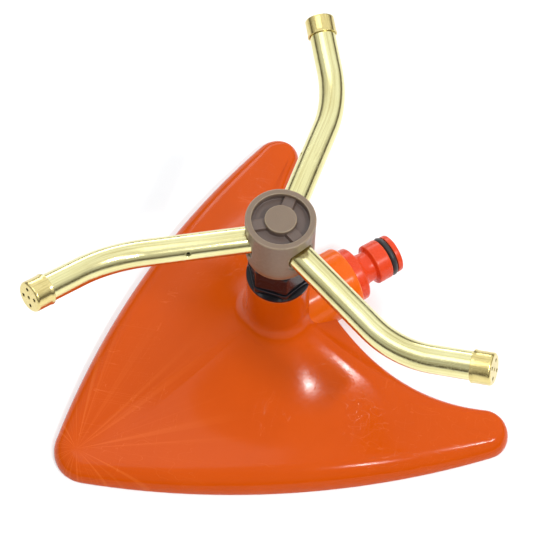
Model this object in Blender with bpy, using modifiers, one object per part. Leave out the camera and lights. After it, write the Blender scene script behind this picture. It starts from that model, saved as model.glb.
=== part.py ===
"""Three-armed rotating garden sprinkler on a three-cornered base.

Metres, +Z up. The origin is on the rotor's axis at ground level, and +X points to the hose inlet.
"""
import math

import bmesh
import bpy
import numpy as np
from mathutils import Matrix, Vector
from mathutils.geometry import delaunay_2d_cdt

# ---- clearances -------------------------------------------------------------------------------
SEAT_GAP = 0.0003      # between pieces that rest on each other
RUN_GAP = 0.0001       # radial, between the turning stem and its bush
PRESS_GAP = 0.00015    # radial, between a tube and its cap

# ---- base: plan -------------------------------------------------------------------------------
FOOT_REACH = 0.1015         # rotor axis to the end of each foot
REAR_FOOT_ANGLE = 57.6      # degrees either side of the inlet
FRONT_FOOT_RADIUS = 0.0139
REAR_FOOT_RADIUS = 0.0099
SIDE_RADIUS = 0.350         # long bowed sides
NOTCH_REACH = 0.0211        # rotor axis to the middle of the hollow side under the inlet

# ---- base: heights and walls ------------------------------------------------------------------
RISER_TOP = 0.060
RISER_WALL = 0.0030
CONE_TOP = 0.0345           # where the cone would meet the riser without its fillet
FOOT_HEIGHT = 0.0072
SIDE_HEIGHT = 0.0092
SIDE_CURVE = 1.72           # powers of the hollow cone
NOTCH_CURVE = 2.55
SIDE_EDGE = 0.009           # width of the rounded rim
NOTCH_EDGE = 0.0030
EDGE_POWER = 2.26
RISER_FILLET = 0.005
SHELL_WALL = 0.0024
RIB_WALL = 0.0020
RIB_LIFT = 0.004            # ribs stop this far above the ground

# ---- water way --------------------------------------------------------------------------------
INLET_HEIGHT = 0.027
INLET_BORE = 0.0052
BOSS_FACE = 0.0330          # rotor axis to the boss's face
BOSS_START = -0.0011        # the boss and its bore begin just past the rotor's axis
BOSS_ROUND = 0.0012
BOSS_WALL = 0.0051
THREAD_BORE = 0.0085
THREAD_DEPTH = 0.0120
ELBOW_BORE = 0.0060
ELBOW_DROP = 0.0095         # the elbow's floor, below the inlet's axis
COLUMN_BOTTOM = 0.0045      # thickness under the elbow
POST_RADIUS = 0.0070
WIDE_BORE_DEPTH = 0.0200

# ---- nut and bearing --------------------------------------------------------------------------
STEM_RADIUS = 0.0042
STEM_WALL = 0.0012
STEM_RIM = 0.0032           # the flange's width round the stem
STEM_FLANGE = 0.0017
STEM_IN_HUB = 0.00496
BUSH_WALL = 0.0020
SHANK_WALL = 0.0024
SHANK_LENGTH = 0.0110
NUT_RISE = 0.0162           # the nut's top above the riser
NUT_INSET = 0.0020          # the upper hexagon's flats inside the riser's surface
NUT_FLANGE = 0.0013
NUT_SKIRT = 0.0026
NUT_SKIRT_STEP = 0.0005     # the lower hexagon stands out this far
NUT_GROOVE = 0.0006
NUT_GROOVE_DEPTH = 0.0004
NUT_CHAMFER = 0.0009
NUT_TURN = -110.0           # degrees, one corner's direction
GASKET_THICK = 0.0012
GASKET_WIDTH = 0.0017
WASHER_THICK = 0.0009
WASHER_MARGIN = 0.0006      # the lower washer's rim round the stem's flange
UPPER_WASHER_INSET = 0.0011
RING_SECTION = 0.0008       # radius of the section of the stem's and the tubes' sealing rings

# ---- rotor ------------------------------------------------------------------------------------
HUB_RADIUS = 0.01274
HUB_RIM = 0.0023
HUB_RECESS = 0.0030
HUB_ROOF = 0.00144          # left between the recess and the tubes' seals
HUB_BOSS_RADIUS = 0.0058
HUB_RIB_WIDTH = 0.0050
HUB_RIB_HEIGHT = 0.0015
HUB_STEP = 0.0003
HUB_STEP_HEIGHT = 0.0024
ARM_COUNT = 3
ARM_TURN = 37.66            # degrees, direction of the first arm
ARM_TILT = 1.35             # degrees, upwards
TUBE_RADIUS = 0.0050
TUBE_WALL = 0.0009
SOCKET_DEPTH = 0.00514      # the socket's floor, inside the hub's surface
SPOT_FACE_DEPTH = 0.00144   # the flat seat round each tube, inside the hub's surface
SPOT_FACE_RIM = 0.0011
SEAL_MARGIN = 0.0011        # from the socket's floor to the tube's seal
CAVITY_LIP = 0.0007         # from the stem's top to the tubes
CAVITY_INSET = 0.0002
WATER_INSET = 0.0004        # the hub's water ways inside the tubes' bores
BEND_START = 0.04915
BEND_RADIUS = 0.0424
BEND_ANGLE = 34.3
BEND_ROLL = 28.2            # degrees, the bend plane's rise over level
TAIL = 0.0216               # straight run from the bend to the cap's face
SIDE_JET_REACH = 0.0340
SIDE_JET_RADIUS = 0.0008
SIDE_JET_RISE = 30.0  # degrees above the level side of the tube
CAP_LENGTH = 0.0072
CAP_WALL = 0.0005
CAP_ROUND = 0.0009
CAP_FLARE = 0.0002          # the rolled mouth stands out this far
CAP_MOUTH = 0.0012
JET_RADIUS = 0.00062
JET_CIRCLE = 0.00315
JET_COUNT = 4

# ---- inlet adapter, distances from the boss's face --------------------------------------------
ADAPTER_RIM = 0.0027        # the flange's width round the thread
ADAPTER_FLANGE = 0.0042
ADAPTER_NECK_RADIUS = 0.0063
ADAPTER_NECK_AT = 0.0088
ADAPTER_SHOULDER = 0.0092
ADAPTER_COLLAR_RADIUS = 0.0084
ADAPTER_COLLAR_START = 0.0112
ADAPTER_COLLAR_END = 0.0172
ADAPTER_TIP_START = 0.0201
ADAPTER_TIP_RADIUS = 0.0080
ADAPTER_LENGTH = 0.0224
ADAPTER_BORE = 0.0045
ADAPTER_RING_SECTION = 0.00125

# ---- fineness ---------------------------------------------------------------------------------
ROUND_STEPS = 32
RING_STEP = 0.0065          # between the rings of points on the cone

# ---- derived sizes ----------------------------------------------------------------------------
BEARING_RADIUS = STEM_RADIUS + RUN_GAP + BUSH_WALL      # outside of the bush
SHANK_RADIUS = BEARING_RADIUS + SEAT_GAP + SHANK_WALL
RISER_BORE = SHANK_RADIUS + SEAT_GAP
RISER_RADIUS = RISER_BORE + RISER_WALL
NUT_FLAT = 2 * (RISER_RADIUS - NUT_INSET)
NUT_TOP = RISER_TOP + NUT_RISE
SHANK_BOTTOM = RISER_TOP - SHANK_LENGTH
ELBOW_FLOOR = INLET_HEIGHT - ELBOW_DROP
COLUMN_FLOOR = ELBOW_FLOOR - COLUMN_BOTTOM
BOSS_RADIUS = THREAD_BORE + BOSS_WALL
HUB_BOTTOM = NUT_TOP + 2 * SEAT_GAP + WASHER_THICK
STEM_TOP = HUB_BOTTOM + STEM_IN_HUB
ARM_HEIGHT = STEM_TOP + CAVITY_LIP + TUBE_RADIUS        # of the arms' axes, on the rotor's axis
SOCKET_RADIUS = TUBE_RADIUS + SEAT_GAP
SEAL_RADIUS = SOCKET_RADIUS + 2 * RING_SECTION + SEAT_GAP
SEAL_HALF = RING_SECTION + SEAT_GAP
HUB_TOP = ARM_HEIGHT + SEAL_RADIUS + HUB_ROOF + HUB_RECESS
SOCKET_START = HUB_RADIUS - SOCKET_DEPTH
SEAL_PLACE = SOCKET_START + SEAL_MARGIN + RING_SECTION
RING_SEAT = (HUB_BOTTOM + STEM_TOP) / 2                 # height of the stem's sealing ring


def collection(name):
    made = bpy.data.collections.new(name)
    bpy.context.scene.collection.children.link(made)
    return made


def material(name, colour, roughness, metallic=0.0):
    made = bpy.data.materials.new(name)
    made.use_nodes = True
    shader = made.node_tree.nodes["Principled BSDF"]
    shader.inputs["Base Color"].default_value = (*colour, 1.0)
    shader.inputs["Roughness"].default_value = roughness
    shader.inputs["Metallic"].default_value = metallic
    return made


def add_object(name, mesh, finish, where):
    made = bpy.data.objects.new(name, mesh)
    if finish:
        mesh.materials.append(finish)
    where.objects.link(made)
    return made


def smooth(mesh, angle=35.0):
    mesh.shade_smooth()
    mesh.set_sharp_from_angle(angle=math.radians(angle))


def turned(name, profile, finish, where, steps=ROUND_STEPS, closed=False, place=None):
    """A profile of (radius, height) points, top to bottom down its outer side, turned about Z."""
    mesh = bpy.data.meshes.new(name)
    points = [(radius, 0.0, height) for radius, height in profile]
    edges = [(i, i + 1) for i in range(len(points) - 1)]
    if closed:
        edges.append((len(points) - 1, 0))
    mesh.from_pydata(points, edges, [])
    made = add_object(name, mesh, finish, where)
    if place is not None:
        made.matrix_world = place
    screw = made.modifiers.new("turn", "SCREW")
    screw.steps = steps
    screw.render_steps = steps
    screw.use_merge_vertices = True
    screw.merge_threshold = 0.00001
    screw.use_smooth_shade = True
    return made


def ring_profile(outer, inner, top, bottom):
    return [(outer, top), (outer, bottom), (inner, bottom), (inner, top)]


def round_section(middle, height, radius, sides=10):
    """The section of a round sealing ring, its outer side running downwards."""
    turns = [math.pi / 2 - 2 * math.pi * i / sides for i in range(sides)]
    return [(middle + radius * math.cos(a), height + radius * math.sin(a)) for a in turns]


def cylinder(name, radius, low, high, where, steps=ROUND_STEPS, place=None):
    profile = [(0.0, high), (radius, high), (radius, low), (0.0, low)]
    return turned(name, profile, None, where, steps, place=place)


def box(name, low, high, where, place=None):
    mesh = bpy.data.meshes.new(name)
    body = bmesh.new()
    bmesh.ops.create_cube(body, size=1.0)
    middle = [(a + b) / 2 for a, b in zip(low, high)]
    size = [b - a for a, b in zip(low, high)]
    move = Matrix.Translation(middle) @ Matrix.Diagonal((*size, 1.0))
    bmesh.ops.transform(body, matrix=move, verts=body.verts)
    body.to_mesh(mesh)
    body.free()
    made = add_object(name, mesh, None, where)
    if place is not None:
        made.matrix_world = place
    return made


def combine(target, other, how):
    """Boolean with a helper object, which stays in the file as a hidden wire shape."""
    other.display_type = "WIRE"
    other.hide_render = True
    step = target.modifiers.new(how.lower() + "_" + other.name, "BOOLEAN")
    step.operation = how
    step.solver = "EXACT"
    step.object = other


def rod(name, path, radius, finish, where, resolution=5):
    """A round bar along a path, as a closed mesh."""
    curve = bpy.data.curves.new(name, "CURVE")
    curve.dimensions = "3D"
    curve.bevel_depth = radius
    curve.bevel_resolution = resolution
    curve.use_fill_caps = True
    line = curve.splines.new("POLY")
    line.points.add(len(path) - 1)
    for point, place in zip(line.points, path):
        point.co = (*place, 1.0)
    bar = bpy.data.objects.new(name + "_curve", curve)
    where.objects.link(bar)
    bpy.context.view_layer.update()
    mesh = bpy.data.meshes.new_from_object(bar.evaluated_get(bpy.context.evaluated_depsgraph_get()))
    mesh.name = name
    matrix = bar.matrix_world.copy()
    bpy.data.objects.remove(bar)
    body = bmesh.new()
    body.from_mesh(mesh)
    bmesh.ops.remove_doubles(body, verts=body.verts, dist=0.00001)
    bmesh.ops.recalc_face_normals(body, faces=body.faces)
    body.to_mesh(mesh)
    body.free()
    mesh.materials.clear()
    made = add_object(name, mesh, finish, where)
    made.matrix_world = matrix
    smooth(mesh)
    return made


# ---- base -------------------------------------------------------------------------------------
def circle_centre(first, first_reach, second, second_reach):
    """The point at two given distances from two others, right of the line between them."""
    line = second - first
    span = np.linalg.norm(line)
    along = (first_reach**2 - second_reach**2 + span**2) / (2 * span)
    across = math.sqrt(first_reach**2 - along**2)
    right = np.array([line[1], -line[0]]) / span
    return first + line / span * along + across * right


def arc(centre, radius, start, end, count):
    """Points and outward directions along an arc, without its last point."""
    turn = np.linspace(start, end, count + 1)[:-1]
    out = np.stack([np.cos(turn), np.sin(turn)], axis=1)
    return centre + radius * out, out


def base_circles():
    """Centres of the front foot, the bowed side, the rear foot and the notch, on the +Y half."""
    rear_turn = math.radians(REAR_FOOT_ANGLE)
    rear_reach = FOOT_REACH - REAR_FOOT_RADIUS
    front = np.array([FRONT_FOOT_RADIUS - FOOT_REACH, 0.0])
    rear = rear_reach * np.array([math.cos(rear_turn), math.sin(rear_turn)])
    side = circle_centre(front, SIDE_RADIUS - FRONT_FOOT_RADIUS, rear, SIDE_RADIUS - REAR_FOOT_RADIUS)
    gap = REAR_FOOT_RADIUS - NOTCH_REACH
    notch = np.array([(rear @ rear - gap**2) / (2 * (rear[0] + gap)), 0.0])
    return front, side, rear, notch


def half_outline(front_count=5, side_count=13, rear_count=7, notch_count=13):
    """The base's edge and its outward directions, from the front foot over +Y to the inlet."""
    front, side, rear, notch = base_circles()
    notch_radius = notch[0] - NOTCH_REACH
    front_end = math.atan2(*(front - side)[::-1])
    rear_start = math.atan2(*(rear - side)[::-1])
    rear_end = math.atan2(*(notch - rear)[::-1])
    pieces = [
        arc(front, FRONT_FOOT_RADIUS, math.pi, front_end, front_count),
        arc(side, SIDE_RADIUS, front_end, rear_start, side_count),
        arc(rear, REAR_FOOT_RADIUS, rear_start, rear_end, rear_count),
        arc(notch, notch_radius, rear_end + math.pi, math.pi, notch_count),
    ]
    points = np.concatenate([p for p, _ in pieces] + [notch[None] - (notch_radius, 0.0)])
    ways = np.concatenate([w for _, w in pieces[:3]] + [-pieces[3][1]] + [np.array([[1.0, 0.0]])])
    return points, ways


def outline():
    """The whole edge, symmetric about the inlet's line."""
    points, ways = half_outline()
    flip = np.array([1.0, -1.0])
    return np.concatenate([points, points[-2:0:-1] * flip]), np.concatenate([ways, ways[-2:0:-1] * flip])


def notch_share(turn):
    """1 on the hollow side, 0 on the bowed sides, with a soft change over each rear foot."""
    return 1.0 / (1.0 + np.exp(-(math.radians(REAR_FOOT_ANGLE) - np.abs(turn)) / 0.05))


def cone_height(x, y, fillet):
    """Height of the hollow cone before its rim is rounded, with a fillet of that height at the riser."""
    reach = np.hypot(x, y)
    turn = np.abs(np.arctan2(y, x))
    side_centre = base_circles()[1]
    along = side_centre[0] * np.cos(turn) + side_centre[1] * np.sin(turn)
    limit = along + np.sqrt(along**2 - side_centre @ side_centre + SIDE_RADIUS**2)
    limit = np.minimum(limit, FOOT_REACH)
    share = np.clip((reach - RISER_RADIUS) / (limit - RISER_RADIUS), 0.0, 1.0)
    to_foot = (limit - limit_least()) / (FOOT_REACH - limit_least())
    rim = SIDE_HEIGHT + (FOOT_HEIGHT - SIDE_HEIGHT) * to_foot
    side = rim + (CONE_TOP - rim) * (1.0 - share) ** SIDE_CURVE
    run = np.clip((reach - RISER_RADIUS) / (FOOT_REACH - RISER_RADIUS), 0.0, 1.0)
    crest = FOOT_HEIGHT + (CONE_TOP - FOOT_HEIGHT) * (1.0 - run) ** NOTCH_CURVE
    mix = notch_share(turn)
    fillet_run = np.clip((reach - RISER_RADIUS) / RISER_FILLET, 0.0, 1.0)
    root = fillet * (1.0 - np.sqrt(1.0 - (1.0 - fillet_run) ** 2))
    return side * (1.0 - mix) + crest * mix + root


def limit_least():
    """The bowed sides' least distance from the rotor's axis."""
    return SIDE_RADIUS - np.linalg.norm(base_circles()[1])


def inner_points(rim):
    """Points on rings round the rotor's axis that lie well inside the rim."""
    made = [(0.0, 0.0)]
    rings = [(RISER_RADIUS + RISER_FILLET * share, 48) for share in (-0.25, 0.03, 0.15, 0.45, 1.0)]
    first = RISER_RADIUS + RISER_FILLET / 2
    for step in range(1, int((FOOT_REACH - first) / RING_STEP)):
        rings.append((first + RING_STEP * step, 12 + 6 * step))
    for distance, count in rings:
        for turn in 2 * math.pi * (np.arange(count) + 0.5) / count:
            made.append((distance * math.cos(turn), distance * math.sin(turn)))
    made = np.array(made)
    ahead = np.roll(rim, -1, axis=0)
    x, y = made[:, :1], made[:, 1:]
    spans = (rim[:, 1] > y) != (ahead[:, 1] > y)
    rise = np.where(ahead[:, 1] == rim[:, 1], 1.0, ahead[:, 1] - rim[:, 1])
    crossing = x < rim[:, 0] + (y - rim[:, 1]) / rise * (ahead[:, 0] - rim[:, 0])
    inside = (spans & crossing).sum(axis=1) % 2 == 1
    margin = np.minimum(0.0035, 0.0008 + 0.12 * abs(x[:, 0]))
    clear = np.hypot(x - rim[:, 0], y - rim[:, 1]).min(axis=1) > margin
    return made[inside & clear]


def base_solid(name, finish, where, lower=0.0, inset=0.0, floor=0.0, fillet=RISER_FILLET):
    """The hollow cone as a closed body: rows from its floor over the rounded rim, then triangles."""
    edge, outward = outline()
    start = edge - inset * outward
    turn = np.arctan2(edge[:, 1], edge[:, 0])
    width = SIDE_EDGE + (NOTCH_EDGE - SIDE_EDGE) * notch_share(turn) - inset
    rows = [np.column_stack([start, np.full(len(edge), floor)])]
    for share in (0.04, 0.15, 0.35, 0.65, 1.0):
        place = start - outward * (width * share)[:, None]
        rounding = (1.0 - (1.0 - share) ** EDGE_POWER) ** (1.0 / EDGE_POWER)
        height = cone_height(place[:, 0], place[:, 1], fillet) * rounding - lower
        least = floor + 0.0001 * len(rows)
        rows.append(np.column_stack([place, np.maximum(height, least)]))
    count = len(edge)
    rim_start = len(rows) * count - count
    faces = [tuple(reversed(range(count)))]
    for row in range(len(rows) - 1):
        for i in range(count):
            first, last = row * count + i, row * count + (i + 1) % count
            faces.append((first, last, last + count, first + count))
    inner = inner_points(rows[-1][:, :2])
    rows.append(np.column_stack([inner, cone_height(inner[:, 0], inner[:, 1], fillet) - lower]))
    flat = [Vector(p) for p in np.concatenate([rows[-2][:, :2], inner])]
    _, _, triangles, source, _, _ = delaunay_2d_cdt(flat, [], [list(range(count))], 1, 0.00001)
    faces += [tuple(rim_start + source[corner][0] for corner in triangle) for triangle in triangles]
    mesh = bpy.data.meshes.new(name)
    mesh.from_pydata([tuple(p) for p in np.concatenate(rows)], [], faces)
    body = bmesh.new()
    body.from_mesh(mesh)
    bmesh.ops.recalc_face_normals(body, faces=body.faces)
    body.to_mesh(mesh)
    body.free()
    return add_object(name, mesh, finish, where)


def along_x(distance, height, step=0.0):
    """Turns a turned piece's axis to +X, from a point on the inlet's axis, and rolls it part of a step."""
    roll = Matrix.Rotation(step * 2 * math.pi / ROUND_STEPS, 4, "Z")
    return Matrix.Translation((distance, 0.0, height)) @ Matrix.Rotation(math.pi / 2, 4, "Y") @ roll


def make_base(finish, where, cutters):
    shell = base_solid("base_shell", finish, where)
    hollow = base_solid("hollow", None, cutters, SHELL_WALL, SHELL_WALL, -0.002, 0.0)
    combine(shell, hollow, "DIFFERENCE")
    for index, turn in enumerate((180.0, REAR_FOOT_ANGLE, -REAR_FOOT_ANGLE)):
        half = SHELL_WALL / 2
        rib = base_solid(f"rib_{index + 1}", None, cutters, half, half, RIB_LIFT)
        place = Matrix.Rotation(math.radians(turn), 4, "Z")
        reach = FOOT_REACH - REAR_FOOT_RADIUS
        low, high = (0.0, -RIB_WALL / 2, 0.0), (reach, RIB_WALL / 2, RISER_TOP)
        slab = box(f"rib_slab_{index + 1}", low, high, cutters, place)
        combine(rib, slab, "INTERSECT")
        combine(shell, rib, "UNION")
    profile = [(0.0, RISER_TOP), (RISER_RADIUS, RISER_TOP), (RISER_RADIUS, COLUMN_FLOOR)]
    profile += [(POST_RADIUS, COLUMN_FLOOR), (POST_RADIUS, 0.0), (0.0, 0.0)]
    combine(shell, turned("column", profile, None, cutters, 48), "UNION")
    corner = (BOSS_RADIUS - 0.3 * BOSS_ROUND, BOSS_FACE - 0.3 * BOSS_ROUND)
    profile = [(0.0, BOSS_FACE), (BOSS_RADIUS - BOSS_ROUND, BOSS_FACE), corner]
    profile += [(BOSS_RADIUS, BOSS_FACE - BOSS_ROUND), (BOSS_RADIUS, BOSS_START), (0.0, BOSS_START)]
    boss = turned("boss", profile, None, cutters, place=along_x(0.0, INLET_HEIGHT, 0.5))
    combine(shell, boss, "UNION")
    gasket_seat = RISER_TOP - GASKET_THICK - SEAT_GAP
    seat = RISER_BORE + GASKET_WIDTH + SEAT_GAP
    wide_floor = RISER_TOP - WIDE_BORE_DEPTH
    profile = [(0.0, RISER_TOP + 0.001), (seat, RISER_TOP + 0.001), (seat, gasket_seat)]
    profile += [(RISER_BORE, gasket_seat), (RISER_BORE, wide_floor), (ELBOW_BORE, wide_floor)]
    profile += [(ELBOW_BORE, ELBOW_FLOOR), (0.0, ELBOW_FLOOR)]
    combine(shell, turned("riser_bore", profile, None, cutters, 44), "DIFFERENCE")
    thread_floor = BOSS_FACE - THREAD_DEPTH
    profile = [(0.0, BOSS_FACE + 0.001), (THREAD_BORE, BOSS_FACE + 0.001), (THREAD_BORE, thread_floor)]
    profile += [(INLET_BORE, thread_floor), (INLET_BORE, BOSS_START), (0.0, BOSS_START)]
    bore = turned("inlet_bore", profile, None, cutters, place=along_x(0.0, INLET_HEIGHT, 0.5))
    combine(shell, bore, "DIFFERENCE")
    return shell


# ---- nut and bearing --------------------------------------------------------------------------
def hexagon(name, flats, low, high, where):
    mesh = bpy.data.meshes.new(name)
    body = bmesh.new()
    corner = flats / math.sqrt(3.0)
    bmesh.ops.create_cone(body, cap_ends=True, segments=6, radius1=corner, radius2=corner, depth=high - low)
    turn = Matrix.Rotation(math.radians(NUT_TURN), 4, "Z")
    place = Matrix.Translation((0.0, 0.0, (low + high) / 2)) @ turn
    bmesh.ops.transform(body, matrix=place, verts=body.verts)
    body.to_mesh(mesh)
    body.free()
    return add_object(name, mesh, None, where)


def make_nut(finish, where, cutters):
    """A turned body, with its shank, waist and bore, cut to shape by two hexagons and a round flange."""
    seat = RISER_TOP + SEAT_GAP
    skirt_low = seat + NUT_FLANGE
    skirt_high = skirt_low + NUT_SKIRT
    waist = skirt_high + NUT_GROOVE
    waist_radius = NUT_FLAT / 2 - NUT_GROOVE_DEPTH
    chamfer_start = RISER_RADIUS - 2 * NUT_CHAMFER
    bore = BEARING_RADIUS + SEAT_GAP
    profile = [(chamfer_start, NUT_TOP), (RISER_RADIUS, NUT_TOP - NUT_CHAMFER), (RISER_RADIUS, waist)]
    profile += [(waist_radius, waist), (waist_radius, skirt_high), (RISER_RADIUS, skirt_high)]
    profile += [(RISER_RADIUS, seat), (SHANK_RADIUS, seat), (SHANK_RADIUS, SHANK_BOTTOM)]
    profile += [(bore, SHANK_BOTTOM)]
    profile += [(bore, NUT_TOP)]
    nut = turned("bearing_nut", profile, finish, where, 48, closed=True)
    upper = hexagon("nut_upper", NUT_FLAT, skirt_low, NUT_TOP + 0.001, cutters)
    skirt_flat = NUT_FLAT + 2 * NUT_SKIRT_STEP
    lower = hexagon("nut_lower", skirt_flat, skirt_low - 0.0005, (skirt_high + waist) / 2, cutters)
    flange = cylinder("nut_flange", RISER_RADIUS + 0.001, SHANK_BOTTOM - 0.001, skirt_low, cutters, 34)
    combine(upper, lower, "UNION")
    combine(upper, flange, "UNION")
    combine(nut, upper, "INTERSECT")
    return nut


def make_bearing(finishes, where):
    profile = ring_profile(RISER_BORE + GASKET_WIDTH, RISER_BORE, RISER_TOP, RISER_TOP - GASKET_THICK)
    gasket = turned("nut_gasket", profile, finishes["rubber"], where, closed=True)
    profile = ring_profile(BEARING_RADIUS, STEM_RADIUS + RUN_GAP, NUT_TOP, SHANK_BOTTOM)
    bush = turned("bearing_bush", profile, finishes["bush"], where, closed=True)
    top = SHANK_BOTTOM - SEAT_GAP
    outer = STEM_RADIUS + STEM_RIM + WASHER_MARGIN
    profile = ring_profile(outer, STEM_RADIUS + SEAT_GAP, top, top - WASHER_THICK)
    lower = turned("lower_washer", profile, finishes["washer"], where, closed=True)
    bottom = NUT_TOP + SEAT_GAP
    outer = NUT_FLAT / 2 - UPPER_WASHER_INSET
    profile = ring_profile(outer, STEM_RADIUS + SEAT_GAP, bottom + WASHER_THICK, bottom)
    upper = turned("upper_washer", profile, finishes["washer"], where, closed=True)
    return gasket, bush, lower, upper


# ---- rotor ------------------------------------------------------------------------------------
def arm_frame(index):
    """Local +Z runs out along the arm's straight part, from the rotor's axis."""
    turn = math.radians(ARM_TURN + 360.0 * index / ARM_COUNT)
    place = Matrix.Translation((0.0, 0.0, ARM_HEIGHT)) @ Matrix.Rotation(turn, 4, "Z")
    return place @ Matrix.Rotation(math.pi / 2 - math.radians(ARM_TILT), 4, "Y")


def make_hub(finish, where, cutters):
    bore = STEM_RADIUS + SEAT_GAP
    groove = bore + 2 * RING_SECTION + SEAT_GAP
    cavity = STEM_RADIUS - CAVITY_INSET
    cavity_top = ARM_HEIGHT + TUBE_RADIUS
    floor = HUB_TOP - HUB_RECESS
    step = HUB_BOTTOM + HUB_STEP_HEIGHT
    profile = [(0.0, HUB_TOP), (HUB_BOSS_RADIUS, HUB_TOP), (HUB_BOSS_RADIUS, floor)]
    profile += [(HUB_RADIUS - HUB_RIM, floor), (HUB_RADIUS - HUB_RIM, HUB_TOP), (HUB_RADIUS, HUB_TOP)]
    profile += [(HUB_RADIUS, step), (HUB_RADIUS - HUB_STEP, step), (HUB_RADIUS - HUB_STEP, HUB_BOTTOM)]
    profile += [(bore, HUB_BOTTOM), (bore, RING_SEAT - SEAL_HALF), (groove, RING_SEAT - SEAL_HALF)]
    profile += [(groove, RING_SEAT + SEAL_HALF), (bore, RING_SEAT + SEAL_HALF), (bore, STEM_TOP + SEAT_GAP)]
    profile += [(cavity, STEM_TOP + SEAT_GAP), (cavity, cavity_top), (0.0, cavity_top)]
    hub = turned("rotor_hub", profile, finish, where, 40)
    spot_face = HUB_RADIUS - SPOT_FACE_DEPTH
    way = TUBE_RADIUS - TUBE_WALL - WATER_INSET
    far = HUB_RADIUS + 0.004
    for index in range(ARM_COUNT):
        turn = Matrix.Rotation(math.radians(ARM_TURN + 360.0 * index / ARM_COUNT), 4, "Z")
        low = (HUB_BOSS_RADIUS - 0.0005, -HUB_RIB_WIDTH / 2, floor - 0.0005)
        high = (HUB_RADIUS - HUB_RIM + 0.0005, HUB_RIB_WIDTH / 2, floor + HUB_RIB_HEIGHT)
        combine(hub, box(f"hub_rib_{index + 1}", low, high, cutters, turn), "UNION")
        start, end = SEAL_PLACE - SEAL_HALF, SEAL_PLACE + SEAL_HALF
        rim = SOCKET_RADIUS + SPOT_FACE_RIM
        profile = [(0.0, far), (rim, far), (rim, spot_face), (SOCKET_RADIUS, spot_face)]
        profile += [(SOCKET_RADIUS, end), (SEAL_RADIUS, end), (SEAL_RADIUS, start), (SOCKET_RADIUS, start)]
        profile += [(SOCKET_RADIUS, SOCKET_START), (way, SOCKET_START), (way, 0.0), (0.0, 0.0)]
        cut = turned(f"socket_{index + 1}", profile, None, cutters, 24, place=arm_frame(index))
        combine(hub, cut, "DIFFERENCE")
    return hub


def make_stem(finish, where):
    top = SHANK_BOTTOM - 2 * SEAT_GAP - WASHER_THICK
    low = top - STEM_FLANGE
    bore = STEM_RADIUS - STEM_WALL
    flange = STEM_RADIUS + STEM_RIM
    profile = [(STEM_RADIUS, STEM_TOP), (STEM_RADIUS, top), (flange, top), (flange, low), (bore, low)]
    profile += [(bore, STEM_TOP)]
    return turned("hollow_stem", profile, finish, where, closed=True)


def arm_path(start, end_trim):
    """Centre line in the arm's frame: straight, one bend, straight, with the end's direction."""
    bend = math.radians(BEND_ANGLE)
    roll = math.radians(BEND_ROLL)
    ahead = Vector((0.0, 0.0, 1.0))
    side = Vector((-math.sin(roll), math.cos(roll), 0.0))
    path = [ahead * start, ahead * (start + BEND_START) / 2]
    steps = 10
    for i in range(steps + 1):
        turn = bend * i / steps
        along = BEND_START + BEND_RADIUS * math.sin(turn)
        path.append(ahead * along + side * BEND_RADIUS * (1 - math.cos(turn)))
    way = ahead * math.cos(bend) + side * math.sin(bend)
    face = path[-1] + way * TAIL
    path.append(face - way * end_trim)
    return path, face, way


def make_arm(index, finishes, where, cutters):
    frame = arm_frame(index)
    trim = CAP_WALL + SEAT_GAP
    path, face, way = arm_path(SOCKET_START + SEAT_GAP, trim)
    number = index + 1
    tube = rod(f"arm_tube_{number}", [frame @ p for p in path], TUBE_RADIUS, finishes["tube"], where)
    past = 0.001
    path, _, _ = arm_path(SOCKET_START - past, trim - past)
    inside = rod(f"tube_bore_{number}", [frame @ p for p in path], TUBE_RADIUS - TUBE_WALL, None, cutters)
    combine(tube, inside, "DIFFERENCE")
    rise = Matrix.Rotation(math.radians(SIDE_JET_RISE), 4, "Z")
    across = Matrix.Translation((0.0, 0.0, SIDE_JET_REACH)) @ rise @ Matrix.Rotation(-math.pi / 2, 4, "X")
    through = TUBE_RADIUS + past
    jet = cylinder(f"side_jet_{number}", SIDE_JET_RADIUS, past, through, cutters, 12, frame @ across)
    combine(tube, jet, "DIFFERENCE")
    profile = round_section(SOCKET_RADIUS + RING_SECTION, SEAL_PLACE, RING_SECTION)
    seal = turned(f"arm_seal_{number}", profile, finishes["rubber"], where, 32, closed=True, place=frame)
    turn = Vector((0.0, 0.0, 1.0)).rotation_difference(way).to_matrix().to_4x4()
    place = frame @ Matrix.Translation(face) @ turn
    inner = TUBE_RADIUS + PRESS_GAP
    outer = inner + CAP_WALL
    round_off = CAP_ROUND * 0.3
    profile = [(0.0, 0.0), (outer - CAP_ROUND, 0.0), (outer - round_off, -round_off), (outer, -CAP_ROUND)]
    profile += [(outer, CAP_MOUTH - CAP_LENGTH), (outer + CAP_FLARE, -CAP_LENGTH), (inner, -CAP_LENGTH)]
    profile += [(inner, -CAP_WALL), (0.0, -CAP_WALL)]
    cap = turned(f"jet_cap_{number}", profile, finishes["cap"], where, 32, place=place)
    drills = [(0.0, 0.0)]
    for i in range(JET_COUNT):
        turn = 2 * math.pi * (i + 0.35) / JET_COUNT
        drills.append((JET_CIRCLE * math.cos(turn), JET_CIRCLE * math.sin(turn)))
    for i, (x, y) in enumerate(drills):
        spot = place @ Matrix.Translation((x, y, 0.0))
        hole = cylinder(f"jet_{number}_{i + 1}", JET_RADIUS, -CAP_WALL - past, past, cutters, 10, spot)
        combine(cap, hole, "DIFFERENCE")
    return tube, seal, cap


def make_stem_ring(finish, where):
    middle = STEM_RADIUS + SEAT_GAP + RING_SECTION
    profile = round_section(middle, RING_SEAT, RING_SECTION)
    return turned("stem_o_ring", profile, finish, where, 32, closed=True)


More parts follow.
